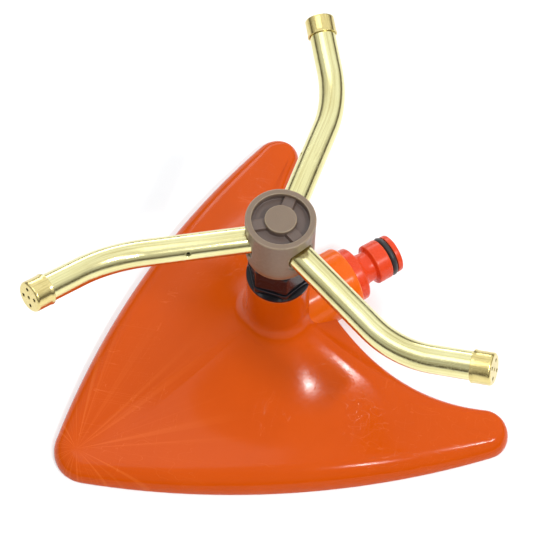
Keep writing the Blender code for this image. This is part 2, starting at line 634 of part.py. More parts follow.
# ---- inlet ------------------------------------------------------------------------------------
def make_adapter(finishes, where):
    place = along_x(BOSS_FACE + SEAT_GAP, INLET_HEIGHT)
    shank_end = GASKET_THICK + 3 * SEAT_GAP - THREAD_DEPTH
    seat = ADAPTER_COLLAR_RADIUS - 2 * ADAPTER_RING_SECTION
    tip_round, edge = 0.0006, 0.0004
    profile = [(ADAPTER_TIP_RADIUS - tip_round, ADAPTER_LENGTH)]
    profile += [(ADAPTER_TIP_RADIUS, ADAPTER_LENGTH - tip_round)]
    profile += [(ADAPTER_TIP_RADIUS, ADAPTER_TIP_START), (seat - SEAT_GAP, ADAPTER_TIP_START)]
    profile += [(seat - SEAT_GAP, ADAPTER_COLLAR_END), (ADAPTER_COLLAR_RADIUS - edge, ADAPTER_COLLAR_END)]
    profile += [(ADAPTER_COLLAR_RADIUS, ADAPTER_COLLAR_END - edge)]
    profile += [(ADAPTER_COLLAR_RADIUS, ADAPTER_COLLAR_START + edge)]
    profile += [(ADAPTER_COLLAR_RADIUS - edge, ADAPTER_COLLAR_START)]
    profile += [(ADAPTER_NECK_RADIUS + edge, ADAPTER_COLLAR_START - 1.5 * edge)]
    run = ADAPTER_NECK_AT - ADAPTER_FLANGE
    for i in range(6):
        share = i / 5
        bulge = (ADAPTER_SHOULDER - ADAPTER_NECK_RADIUS) * (1.0 - math.cos(math.pi / 2 * share))
        profile.append((ADAPTER_NECK_RADIUS + bulge, ADAPTER_NECK_AT - run * math.sin(math.pi / 2 * share)))
    flange = THREAD_BORE + ADAPTER_RIM
    profile += [(flange - 2 * edge, ADAPTER_FLANGE - 0.0001), (flange, ADAPTER_FLANGE - 0.0009)]
    profile += [(flange, 0.0)]
    shank = THREAD_BORE - SEAT_GAP
    profile += [(shank, 0.0), (shank, shank_end), (ADAPTER_BORE, shank_end), (ADAPTER_BORE, ADAPTER_LENGTH)]
    adapter = turned("inlet_adapter", profile, finishes["adapter"], where, closed=True, place=place)
    middle = ADAPTER_COLLAR_RADIUS - ADAPTER_RING_SECTION
    height = (ADAPTER_COLLAR_END + ADAPTER_TIP_START) / 2
    profile = round_section(middle, height, ADAPTER_RING_SECTION - RUN_GAP / 2, 12)
    ring = turned("adapter_o_ring", profile, finishes["rubber"], where, closed=True, place=place)
    floor = SEAT_GAP - THREAD_DEPTH
    profile = ring_profile(shank, INLET_BORE, floor + GASKET_THICK, floor)
    gasket = turned("inlet_gasket", profile, finishes["rubber"], where, closed=True, place=place)
    return adapter, ring, gasket


def main():
    for old in list(bpy.data.objects):
        bpy.data.objects.remove(old)
    sprinkler = collection("sprinkler")
    cutters = collection("cutters")
    finishes = {
        "base": material("orange_plastic", (0.69, 0.11, 0.008), 0.22),
        "adapter": material("red_orange_plastic", (0.86, 0.09, 0.02), 0.3),
        "nut": material("black_plastic", (0.01, 0.01, 0.012), 0.2),
        "hub": material("taupe_plastic", (0.23, 0.16, 0.11), 0.4),
        "tube": material("plated_tube", (0.78, 0.72, 0.36), 0.18, 1.0),
        "cap": material("drawn_cup", (0.76, 0.68, 0.33), 0.24, 1.0),
        "stem": material("brass_stem", (0.72, 0.53, 0.22), 0.3, 1.0),
        "bush": material("white_bush", (0.8, 0.8, 0.78), 0.45),
        "washer": material("thrust_washer", (0.62, 0.6, 0.55), 0.5),
        "rubber": material("black_rubber", (0.015, 0.015, 0.015), 0.6),
    }
    base = bpy.data.objects.new("base", None)
    rotor = bpy.data.objects.new("rotor", None)
    for holder in (base, rotor):
        sprinkler.objects.link(holder)
    still = [make_base(finishes["base"], sprinkler, cutters)]
    still.append(make_nut(finishes["nut"], sprinkler, cutters))
    gasket, bush, lower, upper = make_bearing(finishes, sprinkler)
    still += [gasket, bush, lower]
    still += make_adapter(finishes, sprinkler)
    turning = [upper, make_hub(finishes["hub"], sprinkler, cutters), make_stem(finishes["stem"], sprinkler)]
    turning.append(make_stem_ring(finishes["rubber"], sprinkler))
    for index in range(ARM_COUNT):
        turning += make_arm(index, finishes, sprinkler, cutters)
    for piece in still:
        piece.parent = base
    for piece in turning:
        piece.parent = rotor
    print("pieces:", len(still) + len(turning))


main()
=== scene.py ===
import math

import bpy
import numpy as np
from mathutils import Matrix, Vector


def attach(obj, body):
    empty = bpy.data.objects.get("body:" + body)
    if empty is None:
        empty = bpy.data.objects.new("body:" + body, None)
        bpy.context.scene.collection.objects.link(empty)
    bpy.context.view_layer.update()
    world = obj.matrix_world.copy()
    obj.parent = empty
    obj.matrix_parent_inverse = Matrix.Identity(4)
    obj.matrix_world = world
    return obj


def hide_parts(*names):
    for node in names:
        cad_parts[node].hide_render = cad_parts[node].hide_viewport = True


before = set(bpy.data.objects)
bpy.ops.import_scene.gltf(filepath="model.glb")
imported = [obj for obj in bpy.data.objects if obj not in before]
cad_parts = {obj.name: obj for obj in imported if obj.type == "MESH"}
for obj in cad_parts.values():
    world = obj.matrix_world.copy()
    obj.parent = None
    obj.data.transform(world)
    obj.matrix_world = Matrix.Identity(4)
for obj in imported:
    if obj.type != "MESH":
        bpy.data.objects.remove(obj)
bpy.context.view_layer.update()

scene = bpy.context.scene
scene.view_settings.view_transform = "Standard"  # keeps the plastic's full colour


def addSkin(name, grid, finish, body, loop=False, sharp=50.0, paintedShade=None):
    # a grid of points, rows by columns: columns close round, rows end in a pole or, with loop, close too;
    # the last argument is each point's painted shade, 1 at the bottom of a hole; worn is 0 below a curvature
    # of
    # 300 per metre and 1 above 2600, and marks sharp edges: rubbed wear on most pieces, a painted highlight
    # on the hub
    rows, columns = grid.shape[:2]
    count = rows * columns
    down = np.arange(rows if loop else rows - 1)[:, None]
    across = np.arange(columns)[None, :]
    beside = (across + 1) % columns
    below = (down + 1) % rows
    quads = np.stack([down * columns + across, below * columns + across,
                      below * columns + beside, down * columns + beside], axis=-1).reshape(-1, 4)
    rowShare = np.stack(np.broadcast_arrays(down, down + 1, down + 1, down), axis=-1) / max(rows - 1, 1)
    columnShare = np.stack(np.broadcast_arrays(across, across, across + 1, across + 1), axis=-1) / columns
    shape = (len(quads), 4)
    uv = np.stack([np.broadcast_to(share, (down.size, columns, 4)).reshape(shape)
                   for share in (columnShare, rowShare)], axis=-1).reshape(-1, 2)
    points = grid.reshape(-1, 3)
    triangles = np.zeros((0, 3), int)
    if not loop:
        points = np.concatenate([points, grid[0].mean(0)[None], grid[-1].mean(0)[None]])
        column = np.arange(columns)
        after = (column + 1) % columns
        top = np.stack([np.full(columns, count), column, after], axis=1)
        last = (rows - 1) * columns
        bottom = np.stack([np.full(columns, count + 1), last + after, last + column], axis=1)
        triangles = np.concatenate([top, bottom])
        middle = (column + 0.5) / columns
        ends = np.stack([middle, column / columns, (column + 1) / columns], axis=1)
        topUv = np.stack([ends, np.zeros((columns, 3))], axis=-1).reshape(-1, 2)
        bottomUv = np.stack([ends[:, [0, 2, 1]], np.ones((columns, 3))], axis=-1).reshape(-1, 2)
        uv = np.concatenate([uv, topUv, bottomUv])
    turn = rubbed(grid, loop)
    corners = points[quads]
    volume = (np.einsum("ij,ij->", corners[:, 0], np.cross(corners[:, 1], corners[:, 2]))
              + np.einsum("ij,ij->", corners[:, 0], np.cross(corners[:, 2], corners[:, 3])))
    if volume < 0:  # the grid ran the other way round, so every face is turned over
        turn = -turn
        quads = quads[:, ::-1]
        triangles = triangles[:, ::-1]
        uv = np.concatenate([uv[:quads.size].reshape(-1, 4, 2)[:, ::-1].reshape(-1, 2),
                             uv[quads.size:].reshape(-1, 3, 2)[:, ::-1].reshape(-1, 2)])
    mesh = bpy.data.meshes.new(name)
    mesh.from_pydata(points.tolist(), [], quads.tolist() + triangles.tolist())
    mesh.uv_layers.new(name="along")
    mesh.uv_layers["along"].data.foreach_set("uv", uv.ravel())
    shade = np.zeros_like(turn) if paintedShade is None else paintedShade
    # the painted shade and the sharp-edge value are stored on the points
    for label, values in (("paintedShade", shade), ("worn", softStep(turn, 300, 2600))):
        column = np.zeros(len(points))
        column[:count] = values.ravel()
        mesh.attributes.new(label, "FLOAT", "POINT")
        mesh.attributes[label].data.foreach_set("value", column)
    mesh.shade_smooth()
    mesh.set_sharp_from_angle(angle=math.radians(sharp))
    mesh.materials.append(finish)
    piece = bpy.data.objects.new(name, mesh)
    scene.collection.objects.link(piece)
    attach(piece, body)
    return piece


def rubbed(grid, loop):
    # how sharply the surface turns over along the rows, 1 on outer edges: the second difference of the points
    # against the outward normal, divided by the spacing
    ahead, back = np.roll(grid, -1, axis=0) - grid, grid - np.roll(grid, 1, axis=0)
    aheadLength = np.maximum(np.linalg.norm(ahead, axis=-1, keepdims=True), 1e-7)
    backLength = np.maximum(np.linalg.norm(back, axis=-1, keepdims=True), 1e-7)
    around = np.roll(grid, -1, axis=1) - np.roll(grid, 1, axis=1)
    normal = np.cross(ahead / aheadLength + back / backLength, around)
    normal = normal / np.maximum(np.linalg.norm(normal, axis=-1, keepdims=True), 1e-12)
    turn = (2 * (back / backLength - ahead / aheadLength) / (aheadLength + backLength) * normal).sum(-1)
    if not loop:
        turn[0], turn[-1] = 0, 0
    return turn


def roundedLine(corners, steps=5, closed=False):
    # each corner (across, along, radius) becomes an arc that touches both of its sides
    place = np.array([corner[:2] for corner in corners], float)
    line = []
    for index, (_, _, radius) in enumerate(corners):
        here = place[index]
        if radius == 0 or (not closed and index in (0, len(corners) - 1)):
            line.append(here[None])
            continue
        back = place[index - 1] - here
        ahead = place[(index + 1) % len(corners)] - here
        backLength, aheadLength = np.linalg.norm(back), np.linalg.norm(ahead)
        back, ahead = back / backLength, ahead / aheadLength
        half = math.acos(np.clip(back @ ahead, -1, 1)) / 2
        reach = min(radius / math.tan(half), 0.48 * backLength, 0.48 * aheadLength)
        middle = here + (back + ahead) / np.linalg.norm(back + ahead) * reach / math.cos(half)
        start, end = here + back * reach - middle, here + ahead * reach - middle
        swing = math.pi - 2 * half
        share = np.linspace(0, 1, steps + 1)[:, None]
        arc = np.sin((1 - share) * swing) * start + np.sin(share * swing) * end
        line.append(middle + arc / math.sin(swing))
    return np.concatenate(line)


def filled(line, gap):
    # the same line with extra points, so that no two neighbours stand further apart than the gap
    length = np.linalg.norm(np.diff(line, axis=0), axis=1)
    parts = [a + (b - a) * np.arange(n)[:, None] / n
             for a, b, n in zip(line[:-1], line[1:], np.maximum(1, np.ceil(length / gap)).astype(int))]
    return np.concatenate(parts + [line[-1:]])


def turnedGrid(line, columns):
    # a line of (radius, height) points carried once round the Z axis
    angle = 2 * np.pi * np.arange(columns) / columns
    return np.stack([line[:, :1] * np.cos(angle), line[:, :1] * np.sin(angle),
                     np.repeat(line[:, 1:], columns, axis=1)], axis=-1)


def moved(grid, matrix):
    # the grid turned and shifted by a 4 by 4 matrix
    matrix = np.array(matrix)
    return grid @ matrix[:3, :3].T + matrix[:3, 3]


def softStep(value, low, high):
    # 0 below low, 1 above high, and a smooth S between
    share = np.clip((value - low) / (high - low), 0, 1)
    return share * share * (3 - 2 * share)


def addNode(tree, kind, inputs, **settings):
    # one node with its settings, its inputs set to values or linked to other sockets
    node = tree.nodes.new(kind)
    for key, value in settings.items():
        setattr(node, key, value)
    for key, value in inputs.items():
        if isinstance(value, bpy.types.NodeSocket):
            tree.links.new(value, node.inputs[key])
        else:
            node.inputs[key].default_value = value
    return node


def maths(tree, kind, first, second=0.0):
    return addNode(tree, "ShaderNodeMath", {0: first, 1: second}, operation=kind).outputs[0]


def plus(tree, first, second):
    return maths(tree, "ADD", first, second)


def times(tree, first, second):
    return maths(tree, "MULTIPLY", first, second)


def vectorMaths(tree, kind, first, second=(0.0, 0.0, 0.0)):
    # a length and a dot product come out of the node as numbers, the rest as vectors
    node = addNode(tree, "ShaderNodeVectorMath", {0: first, 1: second}, operation=kind)
    return node.outputs["Value" if kind in ("LENGTH", "DOT_PRODUCT") else "Vector"]


def ranged(tree, value, low, high, toLow=0.0, toHigh=1.0):
    # a value's place between low and high, carried to another range and held inside it
    return addNode(tree, "ShaderNodeMapRange", {"Value": value, "From Min": low, "From Max": high,
                                                "To Min": toLow, "To Max": toHigh}).outputs[0]


def noiseAt(tree, place, scale, detail, roughness=0.5):
    return addNode(tree, "ShaderNodeTexNoise", {"Vector": place, "Scale": scale, "Detail": detail,
                                                "Roughness": roughness}).outputs["Fac"]


def lineNoise(tree, along, scale):
    # noise that changes with one value only
    return addNode(tree, "ShaderNodeTexNoise", {"W": along, "Scale": scale, "Detail": 3.0},
                   noise_dimensions="1D").outputs["Fac"]


def meshValue(tree, name):
    return addNode(tree, "ShaderNodeAttribute", {}, attribute_name=name).outputs["Fac"]


def newGroup(name, inputs, output):
    # an empty shader group: each input is a number, or a vector where its value is None
    group = bpy.data.node_groups.new(name, "ShaderNodeTree")
    for label, value in inputs.items():
        kind = "NodeSocketVector" if value is None else "NodeSocketFloat"
        socket = group.interface.new_socket(label, in_out="INPUT", socket_type=kind)
        if value is not None:
            socket.default_value = value
    group.interface.new_socket(output, in_out="OUTPUT", socket_type="NodeSocketFloat")
    given = group.nodes.new("NodeGroupInput").outputs
    return group, given, group.nodes.new("NodeGroupOutput").inputs[output]


def mottleGroup():
    # soft cloudy value round 0, for a colour or roughness that is never quite even
    group, given, end = newGroup("mottle", {"Vector": None, "Scale": 40.0, "Amount": 0.1}, "Value")
    cloud = noiseAt(group, given["Vector"], given["Scale"], 4.0, 0.6)
    group.links.new(times(group, maths(group, "SUBTRACT", cloud, 0.5), given["Amount"]), end)
    return group


def scratchGroup():
    # thin wandering lines: a noise stretched along one way, cut to the narrow band round its middle value,
    # and thinned out by a second, cloudy noise
    group, given, end = newGroup("scratches", {"Vector": None, "Turn": None, "Scale": 30.0, "Width": 0.01,
                                               "Cover": 0.5}, "Mask")
    turned = addNode(group, "ShaderNodeVectorRotate", {"Vector": given["Vector"], "Rotation": given["Turn"]},
                     rotation_type="EULER_XYZ").outputs[0]
    stretched = vectorMaths(group, "MULTIPLY", turned, (0.35, 9.0, 9.0))
    noise = noiseAt(group, stretched, given["Scale"], 1.0)
    away = maths(group, "ABSOLUTE", maths(group, "SUBTRACT", noise, 0.5))
    line = ranged(group, away, 0.0, given["Width"], 1.0, 0.0)
    patch = noiseAt(group, given["Vector"], 33.0, 2.0)
    shown = maths(group, "GREATER_THAN", patch, maths(group, "SUBTRACT", 1.0, given["Cover"]))
    group.links.new(times(group, line, shown), end)
    return group


def edgeGroup():
    # outer edges made paler here and there, rubbed wear on most pieces and a painted highlight on the hub:
    # the mesh's own worn value, broken up by noise
    group, given, end = newGroup("edgeWearAndPaintedHighlight", {"Vector": None, "Scale": 300.0}, "Mask")
    patch = ranged(group, noiseAt(group, given["Vector"], given["Scale"], 3.0), 0.35, 0.65, 0.45, 1.0)
    group.links.new(times(group, meshValue(group, "worn"), patch), end)
    return group


def ringsGroup():
    # fine rings round the Z axis: noise read at the distance from the axis only
    group, given, end = newGroup("turningRings", {"Vector": None, "Scale": 900.0}, "Value")
    flat = vectorMaths(group, "MULTIPLY", given["Vector"], (1.0, 1.0, 0.0))
    group.links.new(lineNoise(group, vectorMaths(group, "LENGTH", flat), given["Scale"]), end)
    return group


def streakGroup():
    # lines that run along a tube: noise read from its own map, stretched from end to end
    group, given, end = newGroup("drawStreaks", {"Around": 60.0, "Along": 2.0}, "Value")
    own = addNode(group, "ShaderNodeUVMap", {}, uv_map="along").outputs[0]
    stretch = addNode(group, "ShaderNodeCombineXYZ", {"X": given["Around"], "Y": given["Along"]}).outputs[0]
    group.links.new(noiseAt(group, vectorMaths(group, "MULTIPLY", own, stretch), 1.0, 5.0, 0.65), end)
    return group


groups = {"mottle": mottleGroup(), "scratches": scratchGroup(), "edge": edgeGroup(),
          "rings": ringsGroup(), "streaks": streakGroup()}


def useGroup(tree, name, inputs):
    return addNode(tree, "ShaderNodeGroup", inputs, node_tree=groups[name]).outputs[0]


def mottled(tree, where, scale, amount):
    return useGroup(tree, "mottle", {"Vector": where, "Scale": scale, "Amount": amount})


def scratched(tree, where, turn, scale, width, cover):
    return useGroup(tree, "scratches", {"Vector": where, "Turn": turn, "Scale": scale, "Width": width,
                                        "Cover": cover})


def edgeWearAndHighlight(tree, where, scale):
    return useGroup(tree, "edge", {"Vector": where, "Scale": scale})


def newMaterial(name, settings):
    # a material with its Principled shader's fixed values set, and the object's own coordinates
    made = bpy.data.materials.new(name)
    made.use_nodes = True
    shader = made.node_tree.nodes["Principled BSDF"]
    for key, value in settings.items():
        shader.inputs[key].default_value = value
    where = addNode(made.node_tree, "ShaderNodeTexCoord", {}).outputs["Object"]
    return made, made.node_tree, shader, where


def mixColour(tree, share, first, second):
    # a share of the second colour in the first; a Mix node's colours are its inputs 6 and 7 and its output 2
    inputs = {0: share}
    for index, colour in ((6, first), (7, second)):
        inputs[index] = (*colour, 1) if isinstance(colour, tuple) else colour
    return addNode(tree, "ShaderNodeMix", inputs, data_type="RGBA").outputs[2]


def cloudyColour(tree, where, scale, amount, colours, middle=0.5):
    # the first two colours in soft clouds
    return mixColour(tree, plus(tree, mottled(tree, where, scale, amount), middle), colours[0], colours[1])


def dressed(tree, shader, colour, rough, relief, strength, distance=0.00008):
    # colour, roughness and relief linked to the shader; the relief's distance is in metres
    tree.links.new(colour, shader.inputs["Base Color"])
    tree.links.new(rough, shader.inputs["Roughness"])
    bump = addNode(tree, "ShaderNodeBump", {"Height": relief, "Strength": strength, "Distance": distance})
    tree.links.new(bump.outputs["Normal"], shader.inputs["Normal"])


def gloss(name, colours, specular, cloudScale=45.0, scratchScale=26.0, roughness=0.2, wear=0.25):
    # moulded plastic: cloudy colour, fine paler and duller scratches, rubbed edges, slight orange peel
    made, tree, shader, where = newMaterial(name, {"Specular IOR Level": specular})
    colour = cloudyColour(tree, where, cloudScale, 1.6, colours)
    first = scratched(tree, where, (0.3, 0.1, 0.9), scratchScale, 0.006, 0.47)
    second = scratched(tree, where, (-0.2, 0.25, -0.75), scratchScale * 1.4, 0.004, 0.5)
    lines = maths(tree, "MAXIMUM", first, second)
    edge = edgeWearAndHighlight(tree, where, 260.0)
    worn = maths(tree, "MAXIMUM", times(tree, lines, wear), times(tree, edge, wear))
    colour = mixColour(tree, worn, colour, colours[2])
    rough = plus(tree, plus(tree, mottled(tree, where, 420.0, 0.12), roughness), times(tree, lines, 0.18))
    relief = plus(tree, mottled(tree, where, 160.0, 1.0), times(tree, lines, -0.5))
    dressed(tree, shader, colour, rough, relief, 0.25, 0.00012)
    return made


def paintedReflectionFan(made):
    # a painted reflection: faint paler lines that fan out from the front foot's end, noise read at the angle
    # round the foot, faded out with the distance from it
    tree = made.node_tree
    shader = tree.nodes["Principled BSDF"]
    before = shader.inputs["Base Color"].links[0].from_socket
    where = addNode(tree, "ShaderNodeTexCoord", {}).outputs["Object"]
    away = vectorMaths(tree, "ADD", where, (0.0925, 0.0, 0.0))
    part = addNode(tree, "ShaderNodeSeparateXYZ", {"Vector": away}).outputs
    angle = maths(tree, "ARCTAN2", part["Y"], part["X"])
    line = ranged(tree, lineNoise(tree, angle, 9.0), 0.52, 0.66)
    fade = ranged(tree, vectorMaths(tree, "LENGTH", away), 0.07, 0.012, 0.0, 0.30)
    colour = mixColour(tree, times(tree, line, fade), before, (0.76, 0.17, 0.03))
    tree.links.new(colour, shader.inputs["Base Color"])
    return made


def orangeFinish():
    colours = [(0.56, 0.072, 0.002), (0.52, 0.064, 0.001), (0.72, 0.16, 0.03)]
    # the shell's plastic, with a painted reflection fanning out from the front foot
    return paintedReflectionFan(gloss("orangeShell", colours, 0.13, roughness=0.13))


def bossFinish():
    colours = [(0.78, 0.125, 0.003), (0.73, 0.110, 0.002), (0.92, 0.24, 0.05)]
    return gloss("orangeBoss", colours, 0.2, 90.0, 60.0, 0.2, 0.5)


def redFinish():
    colours = [(0.70, 0.054, 0.009), (0.64, 0.046, 0.007), (0.84, 0.14, 0.05)]
    return gloss("redSpigot", colours, 0.3, 90.0, 60.0, 0.27, 0.45)


def blackFinish():
    colours = [(0.005, 0.0045, 0.0055), (0.008, 0.007, 0.009), (0.05, 0.05, 0.07)]
    return gloss("blackNut", colours, 0.22, 80.0, 55.0, 0.15, 0.35)


def taupeFinish():
    # satin plastic, browner and clearer towards its lower edge, with turning rings on its top
    made, tree, shader, where = newMaterial("taupeHub", {
        "Specular IOR Level": 0.5, "Subsurface Weight": 0.25, "Subsurface Radius": (0.004, 0.0024, 0.0014),
        "Subsurface Scale": 1.0, "Coat Weight": 0.12, "Coat Roughness": 0.2})
    colour = cloudyColour(tree, where, 70.0, 1.5, [(0.195, 0.138, 0.092), (0.170, 0.118, 0.077)])
    height = addNode(tree, "ShaderNodeSeparateXYZ", {"Vector": where}).outputs["Z"]
    colour = mixColour(tree, ranged(tree, height, 0.0818, 0.0792), colour, (0.20, 0.085, 0.034))
    # painted highlight: the hub's sharp ring and seat edges are made paler, standing in for their thin
    # highlights
    edge = edgeWearAndHighlight(tree, where, 500.0)
    colour = mixColour(tree, times(tree, edge, 0.5), colour, (0.36, 0.29, 0.19))
    # painted shade: darker in the recess and along the step
    colour = mixColour(tree, meshValue(tree, "paintedShade"), colour, (0.085, 0.056, 0.050))
    rings = useGroup(tree, "rings", {"Vector": where, "Scale": 1500.0})
    grain = mottled(tree, where, 700.0, 0.5)
    rough = plus(tree, plus(tree, grain, 0.36), times(tree, rings, 0.10))
    dressed(tree, shader, colour, rough, plus(tree, rings, grain), 0.35)
    return made


def metalFinish(name, colours, roughness, around, along):
    # bright metal: colour and roughness in lines along the piece, cloudy tarnish, a few marks, painted shade
    # in the holes
    made, tree, shader, where = newMaterial(name, {"Metallic": 1.0})
    lines = useGroup(tree, "streaks", {"Around": around, "Along": along})
    colour = cloudyColour(tree, where, 55.0, 1.8, colours, 0.45)
    colour = mixColour(tree, ranged(tree, lines, 0.46, 0.70, 0.0, 0.6), colour, colours[2])
    # painted shade: the holes' dips are darkened and made rough
    holeShade = meshValue(tree, "paintedShade")
    colour = mixColour(tree, holeShade, colour, (0.008, 0.007, 0.004))
    marks = scratched(tree, where, (0.7, 0.4, 0.2), 60.0, 0.006, 0.45)
    rough = plus(tree, times(tree, lines, 0.10), roughness)
    rough = plus(tree, plus(tree, rough, times(tree, marks, 0.15)), holeShade)
    relief = plus(tree, plus(tree, lines, times(tree, marks, -0.6)), mottled(tree, where, 430.0, 1.4))
    dressed(tree, shader, colour, rough, relief, 0.30)
    return made


def plainFinish(name, colours, roughness, settings):
    # small moulded, punched or turned pieces: cloudy colour, fine grain, rubbed edges
    made, tree, shader, where = newMaterial(name, settings)
    colour = cloudyColour(tree, where, 120.0, 1.6, colours)
    colour = mixColour(tree, times(tree, edgeWearAndHighlight(tree, where, 500.0), 0.4), colour, colours[2])
    grain = mottled(tree, where, 900.0, 0.3)
    dressed(tree, shader, colour, plus(tree, grain, roughness), grain, 0.3)
    return made


# the colours of each metal or plain finish: two that mix in clouds, then the streaks' or rubbed edges' one
tubeColours = [(0.82, 0.78, 0.43), (0.74, 0.67, 0.31), (0.46, 0.35, 0.11)]
cupColours = [(0.78, 0.66, 0.30), (0.68, 0.55, 0.21), (0.42, 0.30, 0.09)]
brassColours = [(0.72, 0.53, 0.22), (0.66, 0.47, 0.18), (0.85, 0.68, 0.34)]
whiteColours = [(0.80, 0.80, 0.76), (0.74, 0.74, 0.70), (0.9, 0.9, 0.88)]
greyColours = [(0.50, 0.48, 0.43), (0.43, 0.41, 0.37), (0.66, 0.64, 0.6)]
rubberColours = [(0.018, 0.018, 0.019), (0.010, 0.010, 0.011), (0.06, 0.06, 0.06)]

finishes = {
    "orange": orangeFinish(),
    "boss": bossFinish(),
    "red": redFinish(),
    "black": blackFinish(),
    "taupe": taupeFinish(),
    "tube": metalFinish("platedTube", tubeColours, 0.13, 46.0, 2.2),
    "cap": metalFinish("drawnCup", cupColours, 0.16, 70.0, 5.0),
    "stem": plainFinish("brassStem", brassColours, 0.28, {"Metallic": 1.0}),
    "bush": plainFinish("whiteBush", whiteColours, 0.45, {}),
    "washer": plainFinish("thrustWasher", greyColours, 0.42, {}),
    "rubber": plainFinish("blackRubber", rubberColours, 0.42, {"Sheen Weight": 0.15, "Sheen Roughness": 0.4}),
}
print("materials:", len(finishes))


base = {
    "footReach": 0.1015, "rearFootAngle": 57.6, "frontFootRadius": 0.0139, "rearFootRadius": 0.0099,
    "sideRadius": 0.350, "notchReach": 0.0211,
    "riserRadius": 0.0123, "riserTop": 0.060, "coneTop": 0.0345,
    "footHeight": 0.0072, "sideHeight": 0.0092, "sideCurve": 1.72, "notchCurve": 2.55,
    "sideEdge": 0.0092, "notchEdge": 0.0032, "edgePower": 2.16,
    "footBlend": 0.05, "fillet": 0.005, "filletRows": 10, "circleRadius": 0.0166, "wall": 0.0024,
    "boreRadius": 0.0093, "boreFloor": 0.040, "seatRadius": 0.0113, "seatDepth": 0.0015,
    "columnFloor": 0.013, "postRadius": 0.007, "rowRise": 0.00005,
    "columns": 480, "coneRows": 48, "rimRows": 14,
    "ribHalf": 0.001, "ribFoot": 0.004,
}


def circleCentre(first, firstReach, second, secondReach):
    # the point at two given distances from two others, right of the line between them
    line = second - first
    span = np.linalg.norm(line)
    along = (firstReach**2 - secondReach**2 + span**2) / (2 * span)
    side = math.sqrt(firstReach**2 - along**2)
    return first + line / span * along + side * np.array([line[1], -line[0]]) / span


def baseCircles():
    # centres of the front foot, the bowed side, the rear foot and the notch, on the +Y half
    turn = math.radians(base["rearFootAngle"])
    front = np.array([base["frontFootRadius"] - base["footReach"], 0.0])
    rear = (base["footReach"] - base["rearFootRadius"]) * np.array([math.cos(turn), math.sin(turn)])
    side = circleCentre(front, base["sideRadius"] - base["frontFootRadius"],
                        rear, base["sideRadius"] - base["rearFootRadius"])
    gap = base["rearFootRadius"] - base["notchReach"]
    notch = np.array([(rear @ rear - gap**2) / (2 * (rear[0] + gap)), 0.0])
    return front, side, rear, notch


frontFoot, bowedSide, rearFoot, notchMiddle = baseCircles()
leastSide = base["sideRadius"] - np.linalg.norm(bowedSide)


def baseEdge(count):
    # the plan's edge and outward directions: arcs of four circles and their mirror images, evenly spaced
    notchRadius = notchMiddle[0] - base["notchReach"]
    frontEnd = math.atan2(*(frontFoot - bowedSide)[::-1])
    rearStart = math.atan2(*(rearFoot - bowedSide)[::-1])
    rearEnd = math.atan2(*(notchMiddle - rearFoot)[::-1])
    parts = [(frontFoot, base["frontFootRadius"], math.pi, frontEnd, 1),
             (bowedSide, base["sideRadius"], frontEnd, rearStart, 1),
             (rearFoot, base["rearFootRadius"], rearStart, rearEnd, 1),
             (notchMiddle, notchRadius, rearEnd + math.pi, math.pi, -1)]
    points, ways = [], []
    for centre, radius, start, end, sign in parts:
        angle = np.linspace(start, end, 400)
        out = np.stack([np.cos(angle), np.sin(angle)], axis=1)
        points.append(centre + radius * out)
        ways.append(sign * out)
    points, ways = np.concatenate(points), np.concatenate(ways)
    flip = np.array([1.0, -1.0])
    points = np.concatenate([points, points[-2::-1] * flip])
    ways = np.concatenate([ways, ways[-2::-1] * flip])
    length = np.concatenate([[0], np.cumsum(np.linalg.norm(np.diff(points, axis=0), axis=1))])
    where = length[-1] * np.arange(count) / count
    edge = np.stack([np.interp(where, length, points[:, axis]) for axis in (0, 1)], axis=1)
    out = np.stack([np.interp(where, length, ways[:, axis]) for axis in (0, 1)], axis=1)
    return edge, out / np.linalg.norm(out, axis=1, keepdims=True)


def notchShare(turn):
    # 1 on the hollow side, 0 on the bowed sides, with a soft change over each rear foot
    past = math.radians(base["rearFootAngle"]) - np.abs(turn)
    return 1 / (1 + np.exp(-past / base["footBlend"]))


def edgeWidth(edge):
    # how wide the rounded rim is at each point of the plan's edge
    share = notchShare(np.arctan2(edge[:, 1], edge[:, 0]))
    return base["sideEdge"] + (base["notchEdge"] - base["sideEdge"]) * share


def coneHeight(x, y, fillet=True):
    # a hollow cone: the height falls from the riser as a power of the share left to the bowed side, on the
    # notch's side as a power of the share left to the feet's reach, plus a quarter round at the riser
    reach = np.hypot(x, y)
    turn = np.abs(np.arctan2(y, x))
    along = bowedSide[0] * np.cos(turn) + bowedSide[1] * np.sin(turn)
    limit = along + np.sqrt(along**2 - bowedSide @ bowedSide + base["sideRadius"]**2)
    limit = np.minimum(limit, base["footReach"])
    inner, top = base["riserRadius"], base["coneTop"]
    share = np.clip((reach - inner) / (limit - inner), 0, 1)
    toFoot = (limit - leastSide) / (base["footReach"] - leastSide)
    rim = base["sideHeight"] + (base["footHeight"] - base["sideHeight"]) * toFoot
    side = rim + (top - rim) * (1 - share)**base["sideCurve"]
    run = np.clip((reach - inner) / (base["footReach"] - inner), 0, 1)
    crest = base["footHeight"] + (top - base["footHeight"]) * (1 - run)**base["notchCurve"]
    mix = notchShare(turn)
    height = side * (1 - mix) + crest * mix
    if fillet:
        left = 1 - np.clip((reach - inner) / base["fillet"], 0, 1)
        height = height + base["fillet"] * (1 - np.sqrt(1 - left**2))
    return height


